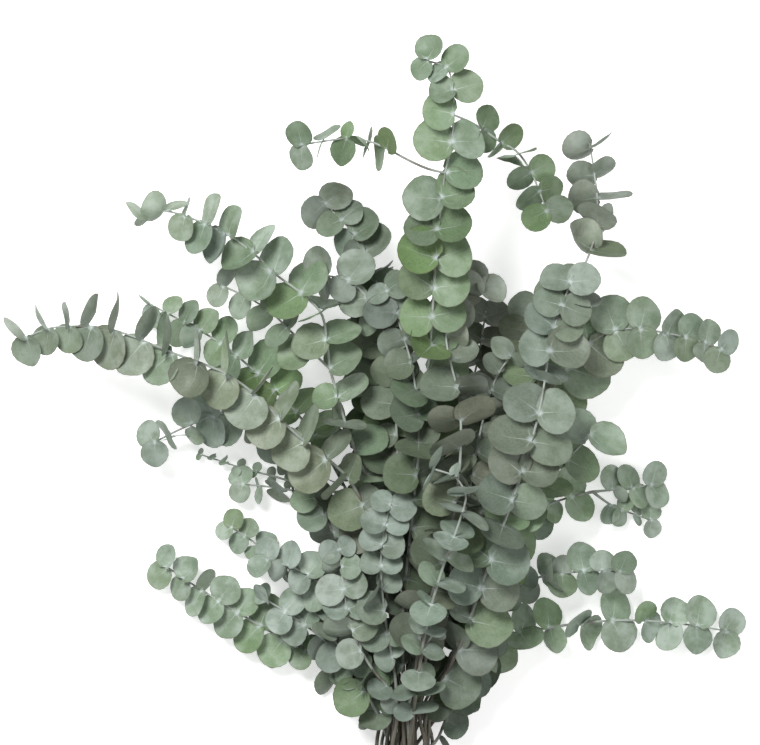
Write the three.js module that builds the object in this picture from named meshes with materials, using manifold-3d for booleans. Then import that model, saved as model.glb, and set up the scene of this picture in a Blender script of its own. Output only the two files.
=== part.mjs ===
// A bunch of cut eucalyptus branches, tied with twine and laid on its side on a flat surface.
//
// Millimetres, +Z up. The stems run along +Y from their cut ends to the leafy tips, and the bunch
// rests on z = 0. Each branch is one solid, its stem and side shoots with the leaves that grow on
// them, and the twine is a ring round the neck of the bunch. The blades stay clear of the blades
// and stems of every other branch, and the lowest ones rest on the surface.

import * as THREE from "three";
import { mergeVertices } from "three/addons/utils/BufferGeometryUtils.js";
import Module from "manifold-3d";

const wasm = await Module();
wasm.setup();

// ---------------------------------------------------------------- driving dimensions, mm
const TWINE = { inner: 21.5, thick: 2.6, width: 11 }; // the ring of twine at y = 0
const NECK_HEIGHT = TWINE.inner + TWINE.thick; // so that the twine touches the surface
const NECK_RADIUS = 18.4; // of the ring of places for the middles of the stems inside the twine
const BUTT_LENGTH = 70; // mean length of stem below the twine
const BUTT_SPREAD = 1.3; // how far the stems part again at their cut ends
const STEM = { base: 2.3, tip: 0.8, step: 24, gap: 0.7 }; // radii, step between points, least gap
const SHOOT = { base: 1.3, tip: 0.7 };
const BLADE = {
  thick: 1.3, // at the middle, thinning to nothing at the edge
  clear: 1.6, // least distance between the middle planes of blades of two branches
  clearOwn: 1.2, // and of one branch
  toStem: 1.5, // and between a blade and a stem's surface
};
const PITCH = 0.72; // distance between leaf pairs, in leaf widths
const SWELL = 3.6; // leaf widths from the tip down to where the leaves reach full size
const LEAFLESS = 75; // bare stem above the twine
const UP = new THREE.Vector3(0, 0, 1);

// Half of a blade's outline from its base to its tip, as shares of its width. It is broader than long.
const BLADE_HALF = [
  [0.42, 0.1],
  [0.5, 0.42],
  [0.27, 0.79],
];
const BLADE_MIDDLE = 0.41; // distance from the base to the middle, as a share of the width
const BLADE_REACH = 0.52; // radius of a disc round the middle that holds the whole outline

// ---------------------------------------------------------------- the branches
// route is the line that the stem follows above the twine, through points [x, y, z] chosen by hand.
// leaf is the full leaf's size and tip the size of the last leaf. face says how far the blades turn
// up to the light, from 0 (square to the stem) to 1. back is the share that show their undersides.
const BRANCHES = [
  {
    name: "crown",
    leaf: 38, tip: 30, face: 0.72, back: 0, quarter: 0.05, leafless: 230,
    route: [
      [5, 135, 36], [13, 245, 54], [19, 335, 79], [25, 415, 113], [32, 515, 142], [44, 600, 156],
      [38, 645, 151], [16, 652, 141],
    ],
    shoots: [
      {
        leaf: 30, tip: 25, pitch: 0.75, face: 0.6, bare: 52,
        route: [[34, 545, 148], [12, 558, 163], [-5, 568, 160], [-40, 582, 147], [-95, 577, 129]],
      },
      {
        leaf: 29, tip: 26, pitch: 0.75, face: 0.55,
        route: [[44, 608, 154], [66, 594, 132], [80, 584, 129], [105, 568, 122], [130, 515, 116]],
      },
    ],
  },
  {
    name: "far_left",
    leaf: 40, tip: 27, face: [0.2, 0.65], back: 0.1, quarter: 0.1,
    route: [
      [-5, 90, 30], [-15, 180, 49], [-45, 275, 84], [-95, 320, 102], [-150, 370, 111],
      [-210, 395, 107], [-265, 415, 95], [-320, 415, 81], [-342, 406, 74],
    ],
  },
  {
    name: "right_front",
    leaf: 41, tip: 30, face: 0.66, back: 0.1, quarter: 0.1,
    route: [
      [25, 80, 50], [45, 115, 68], [75, 200, 96], [105, 285, 111], [122, 345, 112], [133, 410, 104],
      [152, 462, 90],
    ],
  },
  {
    name: "right_big",
    leaf: 44, tip: 38, face: 0.55, back: 0.1,
    route: [[25, 70, 41], [55, 145, 54], [85, 220, 62], [115, 262, 67], [140, 290, 70], [172, 322, 70]],
  },
  {
    name: "base_big",
    leaf: 48, tip: 28, face: 0.7, back: 0.0, leafless: 62,
    route: [[-15, 50, 32], [-25, 70, 39], [-36, 92, 46], [-52, 118, 50], [-68, 145, 50]],
  },
  {
    name: "left_high",
    leaf: 38, tip: 26, face: [0.4, 0.55], back: 0.25,
    route: [
      [-5, 135, 41], [-20, 245, 63], [-50, 325, 82], [-66, 385, 93], [-74, 430, 95], [-110, 460, 97],
      [-150, 495, 95], [-210, 520, 86], [-235, 520, 78],
    ],
    shoots: [
      {
        leaf: 33, tip: 24, pitch: 0.9,
        route: [[-66, 385, 93], [-95, 407, 86], [-125, 435, 78], [-165, 455, 68]],
      },
    ],
  },
  {
    name: "far_right",
    leaf: 43, tip: 24, face: [0.7, 0.65], back: 0.05, quarter: 0,
    route: [
      [20, 90, 23], [45, 170, 34], [85, 250, 46], [115, 315, 55], [145, 378, 60], [180, 410, 64],
      [210, 415, 63], [265, 405, 54], [292, 395, 49],
    ],
  },
  {
    name: "right_high",
    leaf: 36, tip: 30, face: [0.3, 0.65], back: 0.25,
    route: [
      [15, 80, 36], [40, 160, 52], [70, 245, 66], [100, 315, 73], [128, 395, 75], [155, 455, 82],
      [174, 505, 83], [172, 555, 75], [168, 582, 69],
    ],
  },
  {
    name: "brown_middle",
    leaf: 37, tip: 28, face: 0.52, back: 0.45,
    route: [
      [15, 135, 78], [40, 225, 100], [50, 290, 113], [50, 350, 114], [38, 410, 112], [48, 442, 101],
      [72, 455, 90],
    ],
  },
  {
    name: "heart",
    leaf: 37, tip: 30, face: 0.62, back: 0.1,
    route: [[0, 155, 65], [8, 245, 81], [14, 315, 93], [8, 380, 98], [-8, 432, 97], [-16, 455, 92]],
  },
  {
    name: "front_comb",
    leaf: 31, tip: 26, face: 0.0, back: 0.3,
    route: [
      [12, 90, 78], [22, 155, 101], [36, 205, 121], [50, 245, 134], [55, 268, 137], [40, 288, 138],
      [24, 290, 135],
    ],
  },
  {
    name: "front_middle",
    leaf: 30, tip: 24, face: 0.58, back: 0.2,
    route: [[-6, 90, 60], [-16, 155, 79], [-20, 205, 90], [-16, 240, 94], [-10, 262, 90]],
  },
  {
    name: "front_left",
    leaf: 33, tip: 24, face: 0.6, back: 0.2,
    route: [[-8, 80, 50], [-32, 115, 68], [-48, 152, 77], [-55, 200, 78], [-58, 222, 74]],
  },
  {
    name: "front_low",
    leaf: 25, tip: 19, face: 0.4, back: 0.4, pitch: 0.95,
    route: [[4, 70, 57], [12, 100, 71], [20, 130, 81], [42, 160, 82]],
  },
  {
    name: "middle_left",
    leaf: 36, tip: 28, face: 0.6, back: 0.3,
    route: [[0, 205, 51], [-5, 305, 74], [-12, 395, 85], [-34, 445, 89], [-60, 462, 91], [-95, 457, 84]],
  },
  {
    name: "middle_left_high",
    leaf: 34, tip: 29, face: 0.65, back: 0.1, pitch: 0.68,
    route: [
      [-5, 170, 28], [-6, 260, 45], [-12, 350, 56], [-18, 430, 61], [-32, 482, 62], [-52, 510, 59],
      [-75, 532, 53],
    ],
  },
  {
    name: "right_middle",
    leaf: 31, tip: 25, face: 0.5, back: 0.35,
    route: [[20, 115, 58], [40, 190, 76], [57, 260, 90], [71, 330, 87], [84, 372, 80], [100, 395, 75]],
  },
  {
    name: "right_low",
    leaf: 31, tip: 26, face: 0.65, back: 0.15, pitch: 0.68,
    route: [
      [20, 65, 22], [45, 115, 29], [80, 190, 34], [115, 245, 35], [165, 266, 30], [210, 270, 17],
      [232, 275, 11],
    ],
    shoots: [
      {
        leaf: 24, tip: 19, pitch: 0.75,
        route: [[165, 266, 30], [190, 255, 20], [215, 245, 10], [230, 240, 8]],
      },
    ],
  },
  {
    name: "left_behind",
    leaf: 34, tip: 24, face: 0.5, back: 0.1,
    route: [
      [-5, 135, 20], [-40, 245, 30], [-85, 325, 36], [-125, 368, 37], [-165, 402, 30], [-215, 430, 15],
      [-230, 438, 9],
    ],
  },
  {
    name: "left_middle",
    leaf: 36, tip: 26, face: 0.62, back: 0.2,
    route: [
      [-10, 115, 18], [-35, 190, 25], [-70, 270, 32], [-105, 315, 38], [-160, 338, 41],
      [-200, 325, 41], [-230, 310, 37],
    ],
  },
  {
    name: "left_low",
    leaf: 30, tip: 22, face: 0.62, back: 0.2,
    route: [
      [-10, 100, 15], [-30, 170, 19], [-50, 235, 21], [-75, 260, 22], [-110, 270, 20], [-150, 274, 15],
    ],
    shoots: [
      {
        leaf: 9, tip: 7, pitch: 1.6,
        route: [[-75, 260, 22], [-102, 276, 14], [-145, 288, 10], [-185, 301, 8]],
      },
    ],
  },
  {
    name: "left_spread",
    leaf: 31, tip: 24, face: 0.6, back: 0.2,
    route: [[-6, 90, 38], [-40, 155, 48], [-72, 184, 53], [-100, 200, 54], [-126, 206, 51]],
  },
  {
    name: "left_sprig",
    leaf: 25, tip: 20, face: 0.6, back: 0.1,
    route: [
      [-12, 90, 12], [-40, 135, 11], [-80, 178, 12], [-115, 205, 11], [-142, 225, 8], [-160, 236, 6],
    ],
  },
  {
    name: "far_left_low",
    leaf: 33, tip: 25, face: 0.6, back: 0.1,
    route: [
      [-15, 75, 12], [-50, 100, 15], [-95, 125, 18], [-155, 160, 20], [-200, 188, 14], [-218, 200, 10],
    ],
  },
  {
    name: "left_base",
    leaf: 33, tip: 24, face: 0.62, back: 0.15,
    route: [[-18, 60, 12], [-50, 90, 13], [-75, 115, 14], [-100, 128, 14], [-126, 126, 13]],
  },
  {
    name: "right_lower",
    leaf: 31, tip: 26, face: 0.65, back: 0.2, pitch: 0.68,
    route: [
      [20, 60, 16], [40, 90, 21], [70, 145, 26], [95, 178, 29], [125, 190, 32], [175, 196, 34],
      [202, 196, 32],
    ],
  },
  {
    name: "far_right_low",
    leaf: 33, tip: 27, face: 0.65, back: 0.15, pitch: 0.9,
    route: [
      [24, 50, 12], [40, 75, 14], [65, 110, 15], [88, 131, 17], [145, 145, 20], [205, 150, 19],
      [265, 145, 14], [300, 139, 10],
    ],
  },
  {
    name: "right_base",
    leaf: 32, tip: 25, face: 0.62, back: 0.15, leafless: 45,
    route: [[30, 45, 22], [45, 70, 29], [60, 95, 34], [70, 120, 38], [80, 150, 40]],
  },
  {
    name: "core_left",
    leaf: 36, tip: 30, face: 0.62, back: 0.1,
    route: [[-6, 135, 44], [-8, 205, 49], [-16, 280, 48], [-26, 345, 48], [-32, 415, 43]],
  },
  {
    name: "core_right",
    leaf: 34, tip: 28, face: 0.55, back: 0.25,
    route: [[10, 125, 20], [25, 205, 23], [42, 290, 24], [60, 352, 21], [70, 395, 15], [76, 432, 9]],
  },
  {
    name: "core_middle",
    leaf: 36, tip: 28, face: 0.62, back: 0.1,
    route: [[0, 115, 28], [6, 205, 31], [2, 280, 30], [-5, 338, 29]],
  },
  {
    name: "left_inner",
    leaf: 33, tip: 27, face: 0.62, back: 0.2,
    route: [[-8, 100, 32], [-28, 155, 44], [-50, 205, 54], [-70, 245, 58], [-82, 268, 56]],
  },
  {
    name: "left_fill",
    leaf: 32, tip: 26, face: 0.62, back: 0.2,
    route: [[-12, 75, 24], [-45, 110, 32], [-80, 140, 38], [-108, 160, 40], [-128, 172, 38]],
  },
  {
    name: "right_inner",
    leaf: 33, tip: 27, face: 0.62, back: 0.15,
    route: [[18, 70, 34], [44, 115, 42], [76, 160, 48], [104, 196, 50]],
  },
  {
    name: "right_behind",
    leaf: 35, tip: 28, face: 0.6, back: 0.15,
    route: [[12, 110, 16], [42, 205, 30], [76, 290, 40], [100, 355, 44], [112, 410, 40], [122, 438, 34]],
  },
];

// ---------------------------------------------------------------- small tools
// Repeatable random numbers: each branch draws from its own stream, so a change to one leaves the others.
function stream(name) {
  let state = 2166136261;
  for (const letter of name) state = Math.imul(state ^ letter.charCodeAt(0), 16777619);
  return () => {
    state = (state + 0x6d2b79f5) | 0;
    let t = Math.imul(state ^ (state >>> 15), 1 | state);
    t = (t + Math.imul(t ^ (t >>> 7), 61 | t)) ^ t;
    return ((t ^ (t >>> 14)) >>> 0) / 4294967296;
  };
}
const mix = THREE.MathUtils.lerp;
const vec = (x, y, z) => new THREE.Vector3(x, y, z);

// The part of v that is square to the unit vector n.
const across = (v, n) => v.clone().addScaledVector(n, -v.dot(n));

// The nearest point to p on a flat disc or on a stretch of stem.
function nearestOn(shape, p) {
  if (shape.normal) {
    const v = across(p.clone().sub(shape.centre), shape.normal);
    return v.clampLength(0, shape.radius).add(shape.centre);
  }
  const line = shape.b.clone().sub(shape.a);
  const t = THREE.MathUtils.clamp(p.clone().sub(shape.a).dot(line) / line.lengthSq(), 0, 1);
  return shape.a.clone().addScaledVector(line, t);
}

// The distance between two convex shapes, by stepping from one to the other and back.
function distance(one, two) {
  let p = two.centre ?? two.a;
  let q = p;
  for (let i = 0; i < 24; i++) {
    q = nearestOn(one, p);
    p = nearestOn(two, q);
  }
  return p.distanceTo(q);
}

// ---------------------------------------------------------------- the neck of the bunch
// Places for the stems in the ring of twine, spread as evenly as seeds in a flower head.
function neckPlaces(count) {
  return Array.from({ length: count }, (_, i) => {
    const r = NECK_RADIUS * Math.sqrt((i + 0.5) / (count - 0.5));
    const turn = i * Math.PI * (3 - Math.sqrt(5));
    return vec(r * Math.cos(turn), 0, NECK_HEIGHT + r * Math.sin(turn));
  });
}

// Gives each branch the free place that lies nearest to the side it leaves for.
function assignPlaces(branches) {
  const places = neckPlaces(branches.length);
  const wishes = branches.map(({ route }) => {
    const at = vec(...route[Math.min(1, route.length - 1)]);
    return vec(at.x * 0.35, 0, NECK_HEIGHT + (at.z - 60) * 0.45);
  });
  const pairs = wishes.flatMap((wish, b) =>
    places.map((place, p) => ({ b, p, far: wish.distanceTo(place) })),
  );
  const taken = new Map();
  for (const { b, p } of pairs.sort((m, n) => m.far - n.far)) {
    if (!taken.has(b) && ![...taken.values()].includes(p)) taken.set(b, p);
  }
  return branches.map((_, b) => places[taken.get(b)]);
}

// ---------------------------------------------------------------- stems
// A stem is a row of points with the radius at each. The leafy points, each with the size of its
// leaves, start at the tip, and points a step apart follow down the bare part to the cut end.
function makeStem(points, thickness, spec, bare, random) {
  const curve = new THREE.CatmullRomCurve3(points, false, "centripetal");
  const length = curve.getLength();
  const swell = spec.leaf * SWELL;
  const spots = [{ down: 0 }];
  let down = spec.tip * 0.25;
  while (length - down > bare) {
    const grown = THREE.MathUtils.smoothstep(down, 0, swell);
    const size = mix(spec.tip, spec.leaf, grown) * mix(0.93, 1.05, random());
    spots.push({ down, size });
    down += size * (spec.pitch ?? PITCH) * mix(0.9, 1.1, random());
  }
  const last = spots.at(-1).down;
  const steps = Math.ceil((length - last) / STEM.step);
  for (let i = 1; i <= steps; i++) spots.push({ down: mix(last, length, i / steps) });
  spots.reverse();
  const shares = spots.map((spot) => 1 - spot.down / length);
  return {
    owner: spec.name,
    at: shares.map((share) => curve.getPointAt(THREE.MathUtils.clamp(share, 0, 1))),
    radius: shares.map((share) => mix(thickness.base, thickness.tip, Math.pow(share, 0.8))),
    leaf: spots.map((spot) => spot.size ?? 0),
    blades: spots.map(() => []),
    turn: spots.map(() => 0),
  };
}

function mainStem(branch, place, random) {
  const butt = BUTT_LENGTH * mix(0.88, 1.12, random());
  const spread = place.clone().sub(vec(0, 0, NECK_HEIGHT)).multiplyScalar(BUTT_SPREAD);
  const cut = vec(spread.x, -butt, Math.max(NECK_HEIGHT + spread.z, STEM.base + 0.3));
  const route = branch.route.map((p) => vec(...p));
  const held = [-1, 1].map((end) => place.clone().add(vec(0, end * TWINE.width, 0)));
  const bare = butt + (branch.leafless ?? LEAFLESS);
  return makeStem([cut, ...held, ...route], STEM, branch, bare, random);
}

// A shoot starts on the point of its parent stem that is nearest to its first point.
function sideShoot(shoot, parent, random) {
  const route = shoot.route.map((p) => vec(...p));
  const far = (p) => p.distanceTo(route[0]);
  const root = parent.at.reduce((best, p) => (far(p) < far(best) ? p : best));
  const bare = shoot.bare ?? shoot.leaf * 0.7;
  const stem = makeStem([root.clone(), ...route.slice(1)], SHOOT, shoot, bare, random);
  return Object.assign(stem, { owner: parent.owner, root });
}

// The straight stretches of a stem, from each of its points to the next.
const stretches = (stem) =>
  stem.at.slice(1).map((b, i) => {
    const radius = (stem.radius[i] + stem.radius[i + 1]) / 2;
    return { a: stem.at[i], b, radius, stem, i };
  });

// Where a stem's point is, which way the stem runs there, and the two directions square to it.
function spotOn(stem, i) {
  const last = stem.at.length - 1;
  const tangent = stem.at[Math.min(i + 1, last)].clone().sub(stem.at[Math.max(i - 1, 0)]).normalize();
  const up = across(UP, tangent).normalize();
  const side = tangent.clone().cross(up);
  const out = (angle) => side.clone().multiplyScalar(Math.cos(angle)).addScaledVector(up, Math.sin(angle));
  return { stem, i, point: stem.at[i], tangent, radius: stem.radius[i], out };
}

// Pushes the stems of different branches apart until none touch, bending each one smoothly.
function partStems(stems) {
  const rounds = 300;
  for (let round = 0; round < rounds; round++) {
    const pieces = stems.flatMap(stretches);
    const pushes = new Map(stems.map((s) => [s, s.at.map(() => vec(0, 0, 0))]));
    let touching = 0;
    pieces.forEach((p, i) => {
      for (const q of pieces.slice(i + 1)) {
        if (p.stem.owner === q.stem.owner) continue;
        const need = p.radius + q.radius + STEM.gap;
        const reach = need + STEM.step * 1.6;
        if (p.a.distanceTo(q.a) > reach * 1.6) continue;
        let onQ = q.a.clone();
        let onP = onQ;
        for (let k = 0; k < 12; k++) {
          onP = nearestOn(p, onQ);
          onQ = nearestOn(q, onP);
        }
        const gap = onP.distanceTo(onQ);
        if (gap >= need) continue;
        touching++;
        const away = onP.clone().sub(onQ);
        if (away.lengthSq() < 1e-6) away.copy(UP);
        away.normalize().multiplyScalar((need - gap) * 0.55 + 0.05);
        for (const [piece, side] of [[p, 1], [q, -1]]) {
          pushes.get(piece.stem)[piece.i].addScaledVector(away, side * 0.5);
          pushes.get(piece.stem)[piece.i + 1].addScaledVector(away, side * 0.5);
        }
      }
    });
    if (!touching) return;
    for (const stem of stems) {
      const push = pushes.get(stem);
      stem.at.forEach((p, i) => {
        if (stem.root && i === 0) return;
        p.add(push[i].clampLength(0, 1.5));
        p.z = Math.max(p.z, stem.radius[i] + 0.4);
        const middle = vec(0, p.y, NECK_HEIGHT);
        if (Math.abs(p.y) < TWINE.width * 2) p.sub(middle).clampLength(0, NECK_RADIUS).add(middle);
      });
    }
    // A shoot stays on its parent, which may have moved.
    for (const stem of stems) if (stem.root) stem.at[0].copy(stem.root);
  }
  throw new Error("some stems still touch");
}

// ---------------------------------------------------------------- leaves
// The blade that grows from a spot at a given roll round the stem, lean along it and turn to the light.
function bladeAt(spot, size, pose) {
  const out = spot.out(pose.roll);
  const axis = out.clone().multiplyScalar(Math.cos(pose.lean));
  axis.addScaledVector(spot.tangent, Math.sin(pose.lean));
  axis.addScaledVector(UP, -pose.flat * axis.dot(UP)).normalize();
  const normal = across(spot.tangent, axis).normalize().multiplyScalar(1 - Math.abs(pose.face));
  const light = across(UP, axis);
  if (light.length() > 0.2) normal.addScaledVector(light.normalize(), pose.face);
  normal.normalize();
  const base = spot.point.clone().addScaledVector(out, spot.radius * Math.SQRT1_2);
  const centre = base.clone().addScaledVector(axis, size * BLADE_MIDDLE);
  centre.addScaledVector(normal, BLADE.thick / 2);
  const radius = size * BLADE_REACH;
  const low = centre.z - radius * Math.sqrt(1 - normal.z ** 2) - BLADE.thick / 2;
  return { spot, base, axis, normal, centre, radius, size, low, roll: pose.roll };
}

// Lifts a blade that would go under the surface until it just rests on it.
function restOnSurface(spot, size, pose) {
  const blade = bladeAt(spot, size, pose);
  if (blade.low >= 0) return blade;
  const lifted = { ...pose, flat: 1, face: Math.max(pose.face, 0.6) };
  if (bladeAt(spot, size, lifted).low < 0) return null;
  const partWay = (t) =>
    bladeAt(spot, size, { ...pose, flat: mix(pose.flat, 1, t), face: mix(pose.face, lifted.face, t) });
  let [under, over] = [0, 1];
  for (let i = 0; i < 14; i++) {
    const half = (under + over) / 2;
    if (partWay(half).low < 0) under = half;
    else over = half;
  }
  return partWay(over);
}

// The part of a blade that must not cross its mate, which grows from the same place.
function inner(blade) {
  const centre = blade.centre.clone().addScaledVector(blade.axis, blade.size * 0.02);
  return { centre, normal: blade.normal, radius: blade.size * 0.4 };
}

// Whether a blade keeps its distance from the blades and stems already there.
function isClear(blade, others, stems) {
  const { spot } = blade;
  if (blade.normal.dot(spot.tangent) < 0.2) return false;
  for (const other of others) {
    if (other.spot.point === spot.point) {
      if (distance(inner(blade), inner(other)) < 0.5) return false;
      continue;
    }
    const gap = other.spot.stem.owner === spot.stem.owner ? BLADE.clearOwn : BLADE.clear;
    if (blade.centre.distanceTo(other.centre) > blade.radius + other.radius + gap) continue;
    if (distance(blade, other) < gap) return false;
  }
  for (const piece of stems) {
    const gap = piece.radius + BLADE.toStem;
    if (piece.a.distanceTo(blade.centre) > blade.radius + gap + piece.a.distanceTo(piece.b)) continue;
    if (Math.min(piece.a.distanceTo(spot.point), piece.b.distanceTo(spot.point)) < 1) continue;
    if (distance(blade, piece) < gap) return false;
  }
  return true;
}

// Grows the opposite pairs of one stem. Most pairs lie in one plane, and some turn a quarter round.
function growLeaves(stem, spec, random, placed, stems) {
  const tries = 96;
  const face = [spec.face].flat();
  let roll = spec.roll ?? 0;
  for (let i = stem.at.length - 1; i > 0; i--) {
    if (!stem.leaf[i]) continue;
    const spot = spotOn(stem, i);
    const quarter = random() < (spec.quarter ?? 0.2) ? Math.PI / 2 : 0;
    const pairRoll = roll + quarter + (random() - 0.5) * 0.7;
    [0, 1].forEach((mate) => {
      const shown = random() < spec.back ? -0.8 : 1;
      const wish = {
        roll: pairRoll + mate * Math.PI + (random() - 0.5) * 0.3,
        lean: mix(-0.1, 0.5, random()),
        face: (face[mate] ?? face[0]) * shown * mix(0.85, 1.15, random()),
      };
      for (let t = 0; t < tries; t++) {
        const loose = t / tries;
        const share = 1 - 0.12 * Math.floor(loose * 4);
        const pose = {
          roll: wish.roll + (random() - 0.5) * 1.8 * loose,
          lean: wish.lean + (random() - 0.5) * 1.1 * loose,
          face: THREE.MathUtils.clamp(wish.face + (random() - 0.5) * 0.9 * loose, -0.7, 0.76),
          flat: mix(0.5, 1, random() * loose),
        };
        const blade = restOnSurface(spot, stem.leaf[i] * share, pose);
        if (!blade || !isClear(blade, placed, stems)) continue;
        placed.push(Object.assign(blade, { mate }));
        stem.blades[i].push(blade);
        break;
      }
    });
    const rolls = stem.blades[i].map((blade) => blade.roll - blade.mate * Math.PI);
    stem.turn[i] = rolls.length ? rolls.reduce((sum, r) => sum + r, 0) / rolls.length : 0;
  }
}

// ---------------------------------------------------------------- solids
function solidOf(geometry) {
  const bare = geometry.index ? geometry : mergeVertices(geometry);
  return new wasm.Manifold(
    new wasm.Mesh({
      numProp: 3,
      vertProperties: new Float32Array(bare.getAttribute("position").array),
      triVerts: new Uint32Array(bare.index.array),
    }),
  );
}

function fromPoints(points, faces) {
  const geometry = new THREE.BufferGeometry().setFromPoints(points);
  geometry.setIndex(faces.flat());
  return geometry;
}

// A tapering four-sided stem with flat ends. A leafy point has two rings of corners close together,
// and each blade there grows out of the side between them that faces its way.
function stemGeometry(stem) {
  const points = [];
  const faces = [];
  const quarter = Math.PI / 2;
  let previous = null;
  let turn = 0;
  stem.at.forEach((point, i) => {
    const spot = spotOn(stem, i);
    const blades = stem.blades[i];
    if (blades.length) turn = stem.turn[i] + quarter * Math.round((turn - stem.turn[i]) / quarter);
    const heights = blades.length ? [-spot.radius, spot.radius] : [0];
    heights.forEach((height, h) => {
      const ring = [0, 1, 2, 3].map((k) => {
        const corner = spot.out(turn + (k - 0.5) * quarter).multiplyScalar(spot.radius);
        return points.push(point.clone().add(corner).addScaledVector(spot.tangent, height)) - 1;
      });
      if (!previous) faces.push([ring[0], ring[1], ring[2]], [ring[0], ring[2], ring[3]]);
      for (let k = 0; k < 4 && previous; k++) {
        const next = (k + 1) % 4;
        const side = [previous[next], previous[k], ring[k], ring[next]];
        const faced = (blade) => Math.cos(turn + k * quarter - stem.turn[i] - blade.mate * Math.PI) > 0.9;
        const blade = h ? blades.find(faced) : null;
        if (blade) addBlade(points, faces, side, blade);
        else faces.push([side[0], side[1], side[2]], [side[0], side[2], side[3]]);
      }
      previous = ring;
    });
  });
  faces.push([previous[2], previous[1], previous[0]], [previous[3], previous[2], previous[0]]);
  return fromPoints(points, faces);
}

// A thin blade on one four-cornered side of a stem: a flat knife-edged outline with its middle raised.
function addBlade(points, faces, corners, { base, axis, normal, size }) {
  const side = axis.clone().cross(normal);
  const put = (u, v, w) => {
    const point = base.clone().addScaledVector(side, u);
    return points.push(point.addScaledVector(axis, v).addScaledVector(normal, w)) - 1;
  };
  const reach = (k) =>
    points[corners[k % 4]].clone().add(points[corners[(k + 1) % 4]]).sub(base).dot(side);
  const start = [0, 1, 2, 3].reduce((best, k) => (reach(k) > reach(best) ? k : best), 0);
  const [a, b, c, d] = [0, 1, 2, 3].map((k) => corners[(start + k) % 4]);
  const right = BLADE_HALF.map(([u, v]) => put(u * size, v * size, 0));
  const left = BLADE_HALF.map(([u, v]) => put(-u * size, v * size, 0));
  const middle = put(0, BLADE_MIDDLE * size, BLADE.thick);
  const rim = [...right, ...left.toReversed()];
  const top = [d, a, ...rim];
  top.forEach((corner, i) => faces.push([corner, top[(i + 1) % top.length], middle]));
  const under = [c, ...rim.toReversed()];
  for (let i = 0; i + 1 < under.length; i++) faces.push([b, under[i], under[i + 1]]);
  faces.push([a, b, right[0]], [c, d, left[0]]);
}

const material = (name, color, roughness) =>
  new THREE.MeshStandardMaterial({ name, color, roughness, metalness: 0 });
const leafMaterial = material("leaf", 0x74897a, 0.75);
const twineMaterial = material("twine", 0xb09468, 0.95);

function meshOf(name, solid, look) {
  const made = solid.getMesh();
  const geometry = new THREE.BufferGeometry();
  geometry.setAttribute("position", new THREE.BufferAttribute(made.vertProperties, made.numProp));
  geometry.setIndex(new THREE.BufferAttribute(made.triVerts, 1));
  geometry.computeVertexNormals();
  const mesh = new THREE.Mesh(geometry, look);
  mesh.name = name;
  return mesh;
}

// The turns of twine, as one ring with rounded shoulders that the stems pass through.
function twineGeometry() {
  const { inner, thick, width } = TWINE;
  const half = width / 2;
  const profile = [
    [inner, -half],
    [inner + thick * 0.7, -half],
    [inner + thick, -half * 0.6],
    [inner + thick, half * 0.6],
    [inner + thick * 0.7, half],
    [inner, half],
    [inner, -half],
  ].map(([r, y]) => new THREE.Vector2(r, y));
  const ring = new THREE.LatheGeometry(profile, 24);
  ring.deleteAttribute("normal");
  ring.deleteAttribute("uv");
  return mergeVertices(ring, 1e-3).translate(0, 0, NECK_HEIGHT);
}

// ---------------------------------------------------------------- the bunch
const places = assignPlaces(BRANCHES);
const grown = BRANCHES.map((branch, i) => {
  const random = stream(branch.name);
  const main = mainStem(branch, places[i], random);
  const shoots = (branch.shoots ?? []).map((shoot) => sideShoot(shoot, main, random));
  return { branch, random, stems: [main, ...shoots] };
});
const allStems = grown.flatMap((g) => g.stems);
partStems(allStems);

const blades = [];
const stemPieces = allStems.flatMap(stretches);
for (const { branch, random, stems } of grown) {
  stems.forEach((stem, i) => {
    const spec = i ? { face: branch.face, back: branch.back, ...branch.shoots[i - 1] } : branch;
    growLeaves(stem, spec, random, blades, stemPieces);
  });
}

const bunch = new THREE.Group();
for (const { branch, stems } of grown) {
  const solid = wasm.Manifold.union(stems.map(stemGeometry).map(solidOf));
  bunch.add(meshOf(branch.name + "_branch", solid, leafMaterial));
}
bunch.add(meshOf("twine", solidOf(twineGeometry()), twineMaterial));

// The origin is under the middle of the bunch, on the surface that it rests on.
const box = new THREE.Box3().setFromObject(bunch);
bunch.position.set(-(box.min.x + box.max.x) / 2, -(box.min.y + box.max.y) / 2, -box.min.z);

const part = new THREE.Group();
part.add(bunch);
export default part;
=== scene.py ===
import math
import random

import bmesh
import bpy
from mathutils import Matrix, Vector


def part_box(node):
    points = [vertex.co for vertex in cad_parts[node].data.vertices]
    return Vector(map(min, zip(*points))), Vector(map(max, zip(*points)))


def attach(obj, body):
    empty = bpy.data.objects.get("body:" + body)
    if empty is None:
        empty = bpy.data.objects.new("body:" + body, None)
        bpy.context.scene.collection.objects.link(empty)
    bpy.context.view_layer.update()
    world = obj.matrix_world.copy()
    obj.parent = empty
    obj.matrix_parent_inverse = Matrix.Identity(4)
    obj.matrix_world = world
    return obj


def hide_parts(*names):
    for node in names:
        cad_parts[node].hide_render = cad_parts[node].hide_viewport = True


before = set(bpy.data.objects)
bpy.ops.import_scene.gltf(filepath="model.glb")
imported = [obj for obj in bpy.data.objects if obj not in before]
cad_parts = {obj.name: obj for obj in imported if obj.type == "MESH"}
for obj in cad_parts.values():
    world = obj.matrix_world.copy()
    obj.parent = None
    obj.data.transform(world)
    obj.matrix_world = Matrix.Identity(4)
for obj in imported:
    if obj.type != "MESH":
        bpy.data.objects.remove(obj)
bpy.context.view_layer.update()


# ---------------------------------------------------------------- leaves
# Broad round leaves in opposite pairs that sit on the stem with no stalk, their two lobes lapping over
# it. They are leathery, half a millimetre thick, a little dished, and covered with a pale wax. The
# solid of each branch gives where each leaf sits, how wide it is and which way it faces.
SAME_PLACE = 2e-7  # corners nearer than this are one corner
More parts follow.
